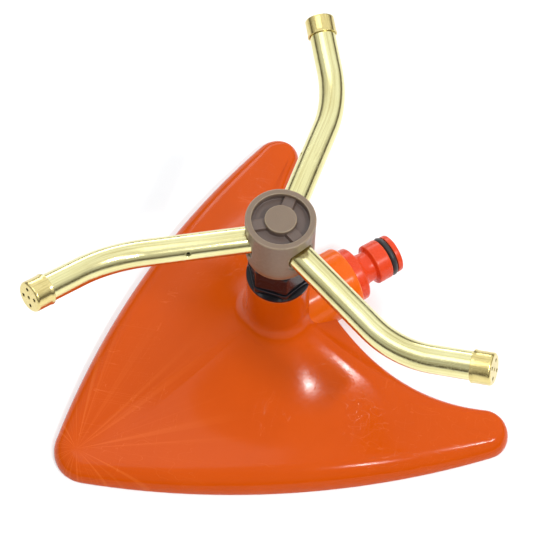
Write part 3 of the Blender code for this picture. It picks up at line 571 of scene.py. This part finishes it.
def relaxed(grid, turns):
    # Winslow's smoothing: every inner point moves to the mean of its neighbours, weighted by the grid's own
    # spacing, which spreads the columns evenly and never lets them cross
    grid = grid.copy()
    for _ in range(turns):
        left, right = np.roll(grid, 1, axis=1), np.roll(grid, -1, axis=1)
        around = ((right - left) / 2)[1:-1]
        outward = (grid[2:] - grid[:-2]) / 2
        alpha = (outward**2).sum(-1, keepdims=True)
        gamma = (around**2).sum(-1, keepdims=True)
        beta = (around * outward).sum(-1, keepdims=True)
        mixed = (right[2:] - right[:-2] - left[2:] + left[:-2]) / 4
        total = alpha * (left + right)[1:-1] + gamma * (grid[2:] + grid[:-2]) - 2 * beta * mixed
        mean = total / (2 * (alpha + gamma))
        grid[1:-1] += 0.9 * (mean - grid[1:-1])
    return grid


def flatRow(place, height):
    # the points of one row: their places in plan and one height for each
    return np.column_stack([place, np.broadcast_to(height, len(place))])


def coneColumns(count):
    # the angle at the riser where each column starts, between the edge point's own and an even share
    edge = baseEdge(count)[0]
    own = np.unwrap(np.arctan2(edge[:, 1], edge[:, 0]))
    own = own - own[0] + math.pi
    even = math.pi - 2 * math.pi * np.arange(count) / count
    return (own + even) / 2


def conePlan():
    # the plan's grid between a circle round the riser and the inside of the rounded rim, first coarse, then
    # refined twice
    grid = None
    for level in (4, 2, 1):
        count, rows = base["columns"] // level, base["coneRows"] // level + 1
        angle = coneColumns(count)
        circle = base["circleRadius"] * np.stack([np.cos(angle), np.sin(angle)], axis=1)
        edge, out = baseEdge(count)
        rim = edge - out * edgeWidth(edge)[:, None]
        if grid is None:
            share = np.linspace(0, 1, rows)[:, None, None]
            fresh = circle + (rim - circle) * share
        else:
            tall = np.repeat(grid, 2, axis=0)[:-1]
            tall[1::2] = (grid[:-1] + grid[1:]) / 2
            fresh = np.repeat(tall, 2, axis=1)
            fresh[:, 1::2] = (tall + np.roll(tall, -1, axis=1)) / 2
            fresh[0], fresh[-1] = circle, rim
        grid = relaxed(fresh, 150 * level)
    return grid


def makeBase():
    # one closed skin: bore floor, bore, riser, fillet, cone, rounded rim, then back underneath to the post
    count = base["columns"]
    angle = coneColumns(count)
    way = np.stack([np.cos(angle), np.sin(angle)], axis=1)
    top, wall = base["riserTop"], base["wall"]
    seat = top - base["seatDepth"]
    bore = roundedLine([(0.0005, base["boreFloor"], 0), (base["boreRadius"], base["boreFloor"], 0.0004),
                        (base["boreRadius"], seat, 0), (base["seatRadius"], seat, 0),
                        (base["seatRadius"], top, 0.0001), (base["riserRadius"], top, 0.0003),
                        (base["riserRadius"], base["coneTop"] + base["fillet"] + 0.0003, 0)], 4)
    bore = filled(bore, 0.0025)
    upper = [flatRow(way * radius, height) for radius, height in bore]
    most = math.asin(1 - (base["circleRadius"] - base["riserRadius"]) / base["fillet"])
    for phi in np.linspace(math.pi / 2, most, base["filletRows"])[:-1]:
        place = way * (base["riserRadius"] + base["fillet"] * (1 - math.sin(phi)))
        upper.append(flatRow(place, coneHeight(*place.T)))
    plan = conePlan()
    cone = np.concatenate([plan, coneHeight(plan[..., 0], plan[..., 1])[..., None]], axis=-1)
    edge, out = baseEdge(count)
    width = edgeWidth(edge)[:, None]
    power = 2 / base["edgePower"]
    rim = []
    for phi in np.linspace(math.pi / 2, 0, base["rimRows"] + 1)[1:]:
        inward = 1 - math.cos(phi)**power
        place = edge - out * width * inward
        rim.append(flatRow(place, coneHeight(*place.T) * math.sin(phi)**power))
    under = [flatRow(edge - out * 0.4 * wall, 0.0), flatRow(edge - out * wall, 0.0)]
    for phi in np.linspace(0, math.pi / 2, 10)[1:]:
        inward = wall + (width - wall) * (1 - math.cos(phi)**power)
        place = edge - out * inward
        height = coneHeight(*place.T, False) * math.sin(phi)**power - wall
        under.append(flatRow(place, np.maximum(height, base["rowRise"] * len(under))))
    inner = plan[-3::-2]
    roofHeight = coneHeight(inner[..., 0], inner[..., 1], False) - wall
    roof = np.concatenate([inner, roofHeight[..., None]], axis=-1)
    riser, floor = base["riserRadius"], base["columnFloor"]
    post = roundedLine([(riser, base["coneTop"] - wall, 0), (riser, floor, 0.0008),
                        (base["postRadius"], floor, 0.001), (base["postRadius"], 0, 0.0003),
                        (0.0005, 0, 0)], 4)
    post = filled(post, 0.003)
    lower = [flatRow(way * radius, height) for radius, height in post]
    grid = np.concatenate([upper, cone, rim, under, roof, lower])
    shell = addSkin("base_moulding", grid, finishes["orange"], "base")
    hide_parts("base_shell")


def makeRibs():
    # three upright blades: a squarish oval section whose top follows the inside of the shell
    for index, turn in enumerate((180.0, base["rearFootAngle"], -base["rearFootAngle"])):
        reach = np.linspace(0.004, base["footReach"] - base["rearFootRadius"], 48)
        way = np.array([math.cos(math.radians(turn)), math.sin(math.radians(turn))])
        place = reach[:, None] * way
        roof = coneHeight(*place.T, False) - base["wall"] / 2
        phi = 2 * np.pi * np.arange(32) / 32
        side = np.sign(np.cos(phi)) * np.abs(np.cos(phi))**0.35 * base["ribHalf"]
        rise = 0.5 + 0.5 * np.sign(np.sin(phi)) * np.abs(np.sin(phi))**0.25
        height = base["ribFoot"] + (roof - base["ribFoot"])[:, None] * rise
        x = place[:, :1] - way[1] * side
        y = place[:, 1:] + way[0] * side
        grid = np.stack([x, y, height], axis=-1)
        addSkin(f"base_rib_{index + 1}", grid, finishes["orange"], "base")


inlet = {"height": 0.027, "start": 0.001, "face": 0.033, "radius": 0.0136, "round": 0.0013,
         "bore": 0.0085, "depth": 0.012, "columns": 160}


def alongX(distance):
    # local +Z runs out along the inlet's axis, from a point at this distance from the riser's
    return Matrix.Translation((distance, 0, inlet["height"])) @ Matrix.Rotation(math.pi / 2, 4, "Y")


def makeBoss():
    # a short turned cylinder with a rounded rim and a blind bore
    face, bore = inlet["face"], inlet["bore"]
    bottom, radius = face - inlet["depth"], inlet["radius"]
    line = roundedLine([(0.0003, bottom, 0), (bore, bottom, 0.0003), (bore, face, 0.0003),
                        (radius, face, inlet["round"]), (radius, inlet["start"], 0),
                        (0.0003, inlet["start"], 0)], 6)
    line = filled(line, 0.001)
    grid = moved(turnedGrid(line, inlet["columns"]), alongX(0))
    addSkin("inlet_boss", grid, finishes["boss"], "base")


makeBase()
makeRibs()
makeBoss()
print("base done")


adapter = {"flange": 0.0112, "flangeLength": 0.0042, "neck": 0.0063, "neckAt": 0.0088, "shoulder": 0.0092,
           "collar": 0.0084, "collarStart": 0.0112, "collarEnd": 0.0172, "tipStart": 0.0201, "tip": 0.0080,
           "length": 0.0224, "bore": 0.0045, "shank": 0.0082, "shankLength": 0.0099,
           "ring": 0.00125, "gap": 0.0003, "columns": 176}


def makeAdapter():
    # a turned spigot: tip disc, ring seat, collar, waist, hollow flare, round flange, shank and bore
    seat = adapter["collar"] - 2 * adapter["ring"] - adapter["gap"]
    flare = np.linspace(0, math.pi / 2, 14)
    run = adapter["neckAt"] - adapter["flangeLength"]
    bulge = adapter["shoulder"] - adapter["neck"]
    tip, collar, neck = adapter["tip"], adapter["collar"], adapter["neck"]
    outer = roundedLine([(adapter["bore"] + 0.0001, adapter["length"], 0), (tip, adapter["length"], 0.0006),
                         (tip, adapter["tipStart"], 0.0002), (seat, adapter["tipStart"], 0.0001),
                         (seat, adapter["collarEnd"], 0.0001), (collar, adapter["collarEnd"], 0.0005),
                         (collar, adapter["collarStart"], 0.0006),
                         (neck, adapter["collarStart"] - 0.0008, 0.0006), (neck, adapter["neckAt"], 0)], 6)
    hollow = np.stack([adapter["neck"] + bulge * (1 - np.cos(flare)),
                       adapter["neckAt"] - run * np.sin(flare)], axis=1)
    thick, deep, bore = adapter["flangeLength"], -adapter["shankLength"], adapter["bore"]
    inner = roundedLine([(adapter["shoulder"], thick, 0), (adapter["flange"], thick, 0.0009),
                         (adapter["flange"], 0, 0.0003), (adapter["shank"], 0, 0),
                         (adapter["shank"], deep, 0.0003), (bore, deep, 0.0002),
                         (bore, adapter["length"], 0.0003)], 6)
    line = filled(np.concatenate([outer, hollow[1:-1], inner[:-1]]), 0.0006)
    place = alongX(inlet["face"] + adapter["gap"])
    spigot = moved(turnedGrid(line, adapter["columns"]), place)
    piece = addSkin("hose_adapter", spigot, finishes["red"], "base", loop=True)
    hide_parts("inlet_adapter")
    angle = 2 * np.pi * np.arange(28) / 28
    middle = (adapter["collarEnd"] + adapter["tipStart"]) / 2
    section = np.stack([collar - adapter["ring"] + adapter["ring"] * np.cos(angle),
                        middle - adapter["ring"] * np.sin(angle)], axis=1)
    bead = moved(turnedGrid(section, 128), place)
    ring = addSkin("sealing_ring", bead, finishes["rubber"], "base", loop=True)
    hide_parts("adapter_o_ring")


makeAdapter()
print("adapter done")


nut = {"turn": -110.0, "bore": 0.0066, "shank": 0.009, "shankBottom": 0.049, "flange": 0.0123, "seat": 0.0603,
       "flangeTop": 0.0616, "skirt": 0.0108, "skirtTop": 0.0642, "waist": 0.0099, "waistTop": 0.0648,
       "flat": 0.0103, "top": 0.0762, "chamfer": 0.0105, "chamferSlope": 2.0, "round": 0.00025,
       "cornerPower": 70, "circleTo": 0.0078, "hexagonFrom": 0.0093, "coveredRows": 6, "columns": 360}


def hexagonReach(angle, half):
    # distance from the axis to a hexagon with softened corners: the six sides' distances as one power mean
    turn = math.radians(nut["turn"] + 30) + np.arange(6) * math.pi / 3
    nearness = np.maximum(np.cos(angle[..., None] - turn), 0)
    return half / (nearness**nut["cornerPower"]).sum(-1)**(1 / nut["cornerPower"])


def softLeast(first, second, power=60):
    # the smaller of two distances, with the corner between them rounded off
    return (first**-power + second**-power)**(-1 / power)


def makeNut():
    # rows down the outside: each is a circle or a hexagon of its own size, the upper corners cut by a cone;
    # the flange's first rows, which the skirt's corners cover, are left out
    soft = nut["round"]
    body = roundedLine([(nut["bore"], nut["top"], 0), (nut["flat"], nut["top"], 0.0005),
                        (nut["flat"], nut["waistTop"], soft), (nut["waist"], nut["waistTop"], 0.0001),
                        (nut["waist"], nut["skirtTop"], 0.0001), (nut["skirt"], nut["skirtTop"], soft),
                        (nut["skirt"], nut["flangeTop"], 0.0001)], 5)
    body = filled(body, 0.0006)
    flange = roundedLine([(nut["skirt"], nut["flangeTop"], 0), (nut["flange"], nut["flangeTop"], 0.0004),
                          (nut["flange"], nut["seat"], soft), (nut["shank"], nut["seat"], 0),
                          (nut["shank"], nut["shankBottom"], 0.0004),
                          (nut["bore"], nut["shankBottom"], 0.0002),
                          (nut["bore"], nut["top"] - 0.0003, 0)], 5)
    flange = filled(flange, 0.001)
    angle = 2 * np.pi * np.arange(nut["columns"]) / nut["columns"]
    half, height = body[:, :1], body[:, 1:]
    hexagon = hexagonReach(angle[None, :], half)
    cone = nut["chamfer"] + nut["chamferSlope"] * (nut["top"] - height)
    outer = np.minimum(cone, nut["flange"] - 0.00005)
    reach = softLeast(hexagon, np.broadcast_to(outer, hexagon.shape))
    share = softStep(half, nut["circleTo"], nut["hexagonFrom"])
    reach = half * (1 - share) + reach * share
    upper = np.stack([reach * np.cos(angle), reach * np.sin(angle),
                      np.broadcast_to(height, reach.shape)], axis=-1)
    lower = turnedGrid(flange, nut["columns"])[nut["coveredRows"]:]
    grid = np.concatenate([upper, lower])
    piece = addSkin("gland_nut", grid, finishes["black"], "base", loop=True)
    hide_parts("bearing_nut")


makeNut()
print("nut done")


rotor = {"armCount": 3, "armTurn": 37.66, "armHeight": 0.08836, "tilt": 1.35}
hub = {"top": 0.100, "bottom": 0.0777, "radius": 0.01274, "rim": 0.0023, "recess": 0.003, "boss": 0.0058,
       "ribHalf": 0.0024, "ribHeight": 0.0015, "step": 0.0003, "stepHeight": 0.0024,
       "bore": 0.0045, "boreTop": 0.083, "spotFace": 0.0113, "spotRadius": 0.0064, "socket": 0.0053,
       "grooveDepth": 0.0012, "columns": 480}


def armTurn(index):
    return math.radians(rotor["armTurn"] + 360 * index / rotor["armCount"])


def armFrame(index):
    # local +Z runs out along the arm's straight part, from the rotor's axis
    place = Matrix.Translation((0, 0, rotor["armHeight"])) @ Matrix.Rotation(armTurn(index), 4, "Z")
    return place @ Matrix.Rotation(math.pi / 2 - math.radians(rotor["tilt"]), 4, "Y")


def makeHub():
    # a turned cap with a recess; ribs rise on its floor towards the arms, and flat seats with a groove are
    # cut where the tubes go in
    top, floor = hub["top"], hub["top"] - hub["recess"]
    inner = hub["radius"] - hub["rim"]
    step = hub["bottom"] + hub["stepHeight"]
    low = hub["radius"] - hub["step"]
    line = roundedLine([(0.0002, top, 0), (hub["boss"], top, 0.00035), (hub["boss"], floor, 0.0003),
                        (inner, floor, 0.0003), (inner, top, 0.0003),
                        (hub["radius"], top, 0.0005), (hub["radius"], step, 0.00012),
                        (low, step, 0.00005), (low, hub["bottom"], 0.0004),
                        (hub["bore"], hub["bottom"], 0.0003), (hub["bore"], hub["boreTop"], 0),
                        (0.0002, hub["boreTop"], 0)], 5)
    line = filled(line, 0.0002)
    grid = turnedGrid(line, hub["columns"])
    x, y, z = grid[..., 0], grid[..., 1], grid[..., 2]
    reach = np.hypot(x, y)
    inside = (reach > hub["boss"] - 0.0001) & (reach < inner + 0.0001) & (z > hub["boreTop"] + 0.001)
    for index in range(rotor["armCount"]):
        turn = armTurn(index)
        ahead = x * math.cos(turn) + y * math.sin(turn)
        aside = -x * math.sin(turn) + y * math.cos(turn)
        rib = hub["ribHeight"] * softStep(hub["ribHalf"] - np.abs(aside), -0.0001, 0.00035) * (ahead > 0)
        z = np.where(inside, np.maximum(z, floor + rib), z)
    cap = np.stack([x, y, z], axis=-1)
    for index in range(rotor["armCount"]):
        local = moved(cap, armFrame(index).inverted())
        away = np.hypot(local[..., 0], local[..., 1])
        skin = (reach > low - 0.0006) & (local[..., 2] > 0)
        cut = softStep(hub["spotRadius"] - away, -0.00008, 0.00012)
        flat = np.minimum(local[..., 2], hub["spotFace"])
        ring = softStep(hub["socket"] - away, -0.00005, 0.0001)
        flat = flat - hub["grooveDepth"] * ring
        local[..., 2] = np.where(skin, local[..., 2] * (1 - cut) + flat * cut, local[..., 2])
        cap = moved(local, armFrame(index))
    # painted shade: darker towards the recess floor, and a dark line of painted shade along the step
    shade = np.where(inside, softStep(top - z, 0.0004, hub["recess"] * 0.6) * 0.8, 0)
    shade = np.maximum(shade, 0.7 * (np.abs(z - step) < 0.00012) * (reach > low - 0.001))
    piece = addSkin("hub", cap, finishes["taupe"], "rotor", sharp=60.0, paintedShade=shade)
    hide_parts("rotor_hub")


arm = {"radius": 0.005, "start": 0.0079, "bendStart": 0.04915, "bendRadius": 0.0424, "bendAngle": 34.3,
       "bendRoll": 28.2, "tail": 0.0216, "sides": 128, "flatten": 0.012, "flattenLength": 0.011,
       "jetReach": 0.034, "jetRise": 30.0, "jetRadius": 0.0008, "jetDepth": 0.0016, "jetBand": 0.0016,
       "crowding": 0.75, "capLength": 0.0072, "capWall": 0.0005, "capRound": 0.0009, "capFlare": 0.0002,
       "capMouth": 0.0012, "capGap": 0.0003, "fit": 0.00015, "capColumns": 192,
       "holeRadius": 0.00062, "holeCircle": 0.00315, "holeCount": 4, "holeShift": 0.35, "holeDepth": 0.0009}


def armLine():
    # the centre line by length in the arm's own frame: straight, one bend, straight; with its direction,
    # and the bend's own side direction
    bend, roll = math.radians(arm["bendAngle"]), math.radians(arm["bendRoll"])
    bendEnd = arm["bendStart"] + arm["bendRadius"] * bend
    end = bendEnd + arm["tail"] - arm["capWall"] - arm["capGap"]
    jet, band = arm["jetReach"], arm["jetBand"]
    parts = [np.arange(arm["start"], jet - band, 0.0008), np.arange(jet - band, jet + band, 0.00016),
             np.arange(jet + band, arm["bendStart"], 0.0012), np.linspace(arm["bendStart"], bendEnd, 48)[:-1],
             np.linspace(bendEnd, end, 18)]
    length = np.concatenate(parts)
    turn = np.clip((length - arm["bendStart"]) / arm["bendRadius"], 0, bend)
    after = np.maximum(length - bendEnd, 0)
    ahead = np.array([0.0, 0.0, 1.0])
    side = np.array([-math.sin(roll), math.cos(roll), 0.0])
    way = np.cos(turn)[:, None] * ahead + np.sin(turn)[:, None] * side
    point = (np.minimum(length, arm["bendStart"])[:, None] * ahead
             + arm["bendRadius"] * (np.sin(turn)[:, None] * ahead + (1 - np.cos(turn))[:, None] * side)
             + after[:, None] * way)
    inward = np.cos(turn)[:, None] * side - np.sin(turn)[:, None] * ahead
    return length, point, way, inward


def makeTube(index):
    # a circle carried along the centre line, slightly oval in the bend, with a dimple for the side jet's
    # hole, where the columns crowd together
    length, point, way, inward = armLine()
    across = np.cross(way, inward)
    jetAngle = math.radians(arm["jetRise"] - arm["bendRoll"])
    even = 2 * np.pi * np.arange(arm["sides"]) / arm["sides"]
    phi = even - arm["crowding"] * np.sin(even) + jetAngle
    bendMiddle = arm["bendStart"] + arm["bendRadius"] * math.radians(arm["bendAngle"]) / 2
    oval = arm["flatten"] * np.exp(-((length - bendMiddle) / arm["flattenLength"])**2)
    toward = arm["radius"] * (1 - oval)
    beside = arm["radius"] * (1 + oval)
    grid = (point[:, None] + toward[:, None, None] * np.cos(phi)[None, :, None] * inward[:, None]
            + beside[:, None, None] * np.sin(phi)[None, :, None] * across[:, None])
    swing = (phi - jetAngle + np.pi) % (2 * np.pi) - np.pi
    away = np.hypot(swing[None, :] * arm["radius"], (length - arm["jetReach"])[:, None])
    sink = arm["jetDepth"] * softStep(arm["jetRadius"] - away, -0.00006, 0.00012)
    outward = grid - point[:, None]
    grid = grid - outward / np.linalg.norm(outward, axis=-1, keepdims=True) * sink[..., None]
    tube = moved(grid, armFrame(index))
    # the dimple takes painted shade as deep as it sinks
    piece = addSkin(f"bent_tube_{index + 1}", tube, finishes["tube"], "rotor",
                    paintedShade=sink / arm["jetDepth"])
    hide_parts(f"arm_tube_{index + 1}")


def makeCap(index):
    # a drawn cup pushed over the tube: round face with five holes, rounded edge, slightly flared mouth
    inner = arm["radius"] + arm["fit"]
    outer = inner + arm["capWall"]
    mouth = -arm["capLength"]
    line = roundedLine([(0.00005, 0, 0), (outer, 0, arm["capRound"]), (outer, arm["capMouth"] + mouth, 0.002),
                        (outer + arm["capFlare"], mouth, 0.00015), (inner, mouth, 0.0001),
                        (inner, -arm["capWall"], 0), (0.0001, -arm["capWall"] - 0.0006, 0)], 7)
    line = filled(line, 0.00013)
    grid = turnedGrid(line, arm["capColumns"])
    holes = [(0.0, 0.0)]
    for number in range(arm["holeCount"]):
        turn = 2 * math.pi * (number + arm["holeShift"]) / arm["holeCount"]
        holes.append((arm["holeCircle"] * math.cos(turn), arm["holeCircle"] * math.sin(turn)))
    reach = np.hypot(grid[..., 0], grid[..., 1])
    face = (grid[..., 2] > -arm["capRound"]) & (reach < outer - arm["capRound"] * 0.5)
    sink = np.zeros_like(reach)
    # painted shade in the holes, a little wider than their dips
    shade = np.zeros_like(reach)
    for x, y in holes:
        away = np.hypot(grid[..., 0] - x, grid[..., 1] - y)
        sink = np.maximum(sink, softStep(arm["holeRadius"] - away, -0.00005, 0.0001))
        shade = np.maximum(shade, softStep(arm["holeRadius"] - away, -0.00009, -0.00001))
    grid[..., 2] -= np.where(face, sink * arm["holeDepth"], 0)
    point, way = armLine()[1:3]
    ahead = Vector(way[-1])
    end = Vector(point[-1]) + ahead * (arm["capWall"] + arm["capGap"])
    turn = Vector((0, 0, 1)).rotation_difference(ahead).to_matrix().to_4x4()
    place = armFrame(index) @ Matrix.Translation(end) @ turn
    piece = addSkin(f"jet_cup_{index + 1}", moved(grid, place), finishes["cap"], "rotor",
                    paintedShade=np.where(face, shade, 0))
    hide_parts(f"jet_cap_{index + 1}")


makeHub()
for armIndex in range(rotor["armCount"]):
    makeTube(armIndex)
    makeCap(armIndex)
print("rotor done")


# the small pieces that stay as the frame has them only take their finish here
kept = {"nut_gasket": "rubber", "bearing_bush": "bush", "lower_washer": "washer", "upper_washer": "washer",
        "inlet_gasket": "rubber", "hollow_stem": "stem", "stem_o_ring": "rubber",
        "arm_seal_1": "rubber", "arm_seal_2": "rubber", "arm_seal_3": "rubber"}
for nodeName, finishName in kept.items():
    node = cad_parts[nodeName]
    for place in node.material_slots:
        place.material = finishes[finishName]
print("kept pieces:", len(kept))


lamps = {
    "keyLight": {"place": (0.26, -0.56, 0.82), "size": (0.14, 0.03), "power": 3.2},
    "windowLight": {"place": (-0.06, -0.64, 0.78), "size": (0.06, 0.05), "power": 1.7},
    "overhead": {"place": (-0.3, 0.1, 1.15), "size": (0.7, 0.7), "power": 2.2},
    "backLight": {"place": (0.35, 0.9, 0.35), "size": (0.6, 0.2), "power": 1.6},
}
lampAim = Vector((0, 0, 0.03))


def makeLamp(name):
    # a rectangular lamp, in metres and watts, turned towards the base
    lamp = lamps[name]
    data = bpy.data.lights.new(name, "AREA")
    data.shape = "RECTANGLE"
    data.size, data.size_y = lamp["size"]
    data.energy = lamp["power"]
    made = bpy.data.objects.new(name, data)
    scene.collection.objects.link(made)
    made.location = lamp["place"]
    made.rotation_euler = (lampAim - Vector(lamp["place"])).to_track_quat("-Z", "Y").to_euler()


def makeFloor():
    # a wide flat sheet under the base
    mesh = bpy.data.meshes.new("floor")
    wide = 3.0
    corners = [(-wide, -wide, 0), (wide, -wide, 0), (wide, wide, 0), (-wide, wide, 0)]
    mesh.from_pydata(corners, [], [(0, 1, 2, 3)])
    finish, tree, shader, where = newMaterial("paleFloor", {"Specular IOR Level": 0.2})
    cloud = mottled(tree, where, 3.0, 0.2)
    colour = mixColour(tree, plus(tree, cloud, 0.5), (0.93, 0.93, 0.93), (0.90, 0.90, 0.90))
    tree.links.new(colour, shader.inputs["Base Color"])
    tree.links.new(plus(tree, cloud, 0.7), shader.inputs["Roughness"])
    mesh.materials.append(finish)
    floor = bpy.data.objects.new("floor", mesh)
    scene.collection.objects.link(floor)
    floor.location.z = -0.0002


def makeWorld():
    # a dim warm room with a pale ceiling, brightest towards +X and +Y
    world = bpy.data.worlds.new("studio")
    scene.world = world
    world.use_nodes = True
    tree = world.node_tree
    direction = addNode(tree, "ShaderNodeTexCoord", {}).outputs["Generated"]
    up = addNode(tree, "ShaderNodeSeparateXYZ", {"Vector": direction}).outputs["Z"]
    side = vectorMaths(tree, "DOT_PRODUCT", direction, (0.46, 0.52, 0.72))
    share = times(tree, ranged(tree, up, 0.12, 0.42), ranged(tree, side, 0.15, 0.75, 0.52, 1.0))
    colour = mixColour(tree, share, (0.07, 0.055, 0.035), (1.10, 1.13, 1.16))
    tree.links.new(colour, tree.nodes["Background"].inputs["Color"])
    tree.nodes["Background"].inputs["Strength"].default_value = 1.04


camera = {"azimuth": 235.80, "elevation": 58.04, "distance": 0.51573, "lens": 98.39,
          "aim": (-0.01468, -0.01392, 0.100), "roll": 1.321}


def makeCamera():
    # set by its direction and distance from the hub's top, turned to the aim point, then rolled
    data = bpy.data.cameras.new("camera")
    data.lens = camera["lens"]
    data.sensor_width = 36.0
    data.clip_start = 0.01
    view = bpy.data.objects.new("camera", data)
    scene.collection.objects.link(view)
    turn, lift = math.radians(camera["azimuth"]), math.radians(camera["elevation"])
    away = Vector((math.cos(turn) * math.cos(lift), math.sin(turn) * math.cos(lift), math.sin(lift)))
    view.location = Vector((0, 0, hub["top"])) + away * camera["distance"]
    look = (Vector(camera["aim"]) - view.location).to_track_quat("-Z", "Y").to_matrix()
    view.rotation_euler = (look @ Matrix.Rotation(math.radians(camera["roll"]), 3, "Z")).to_euler()
    scene.camera = view


makeFloor()
makeWorld()
for lampName in lamps:
    makeLamp(lampName)
makeCamera()
print("stage done")
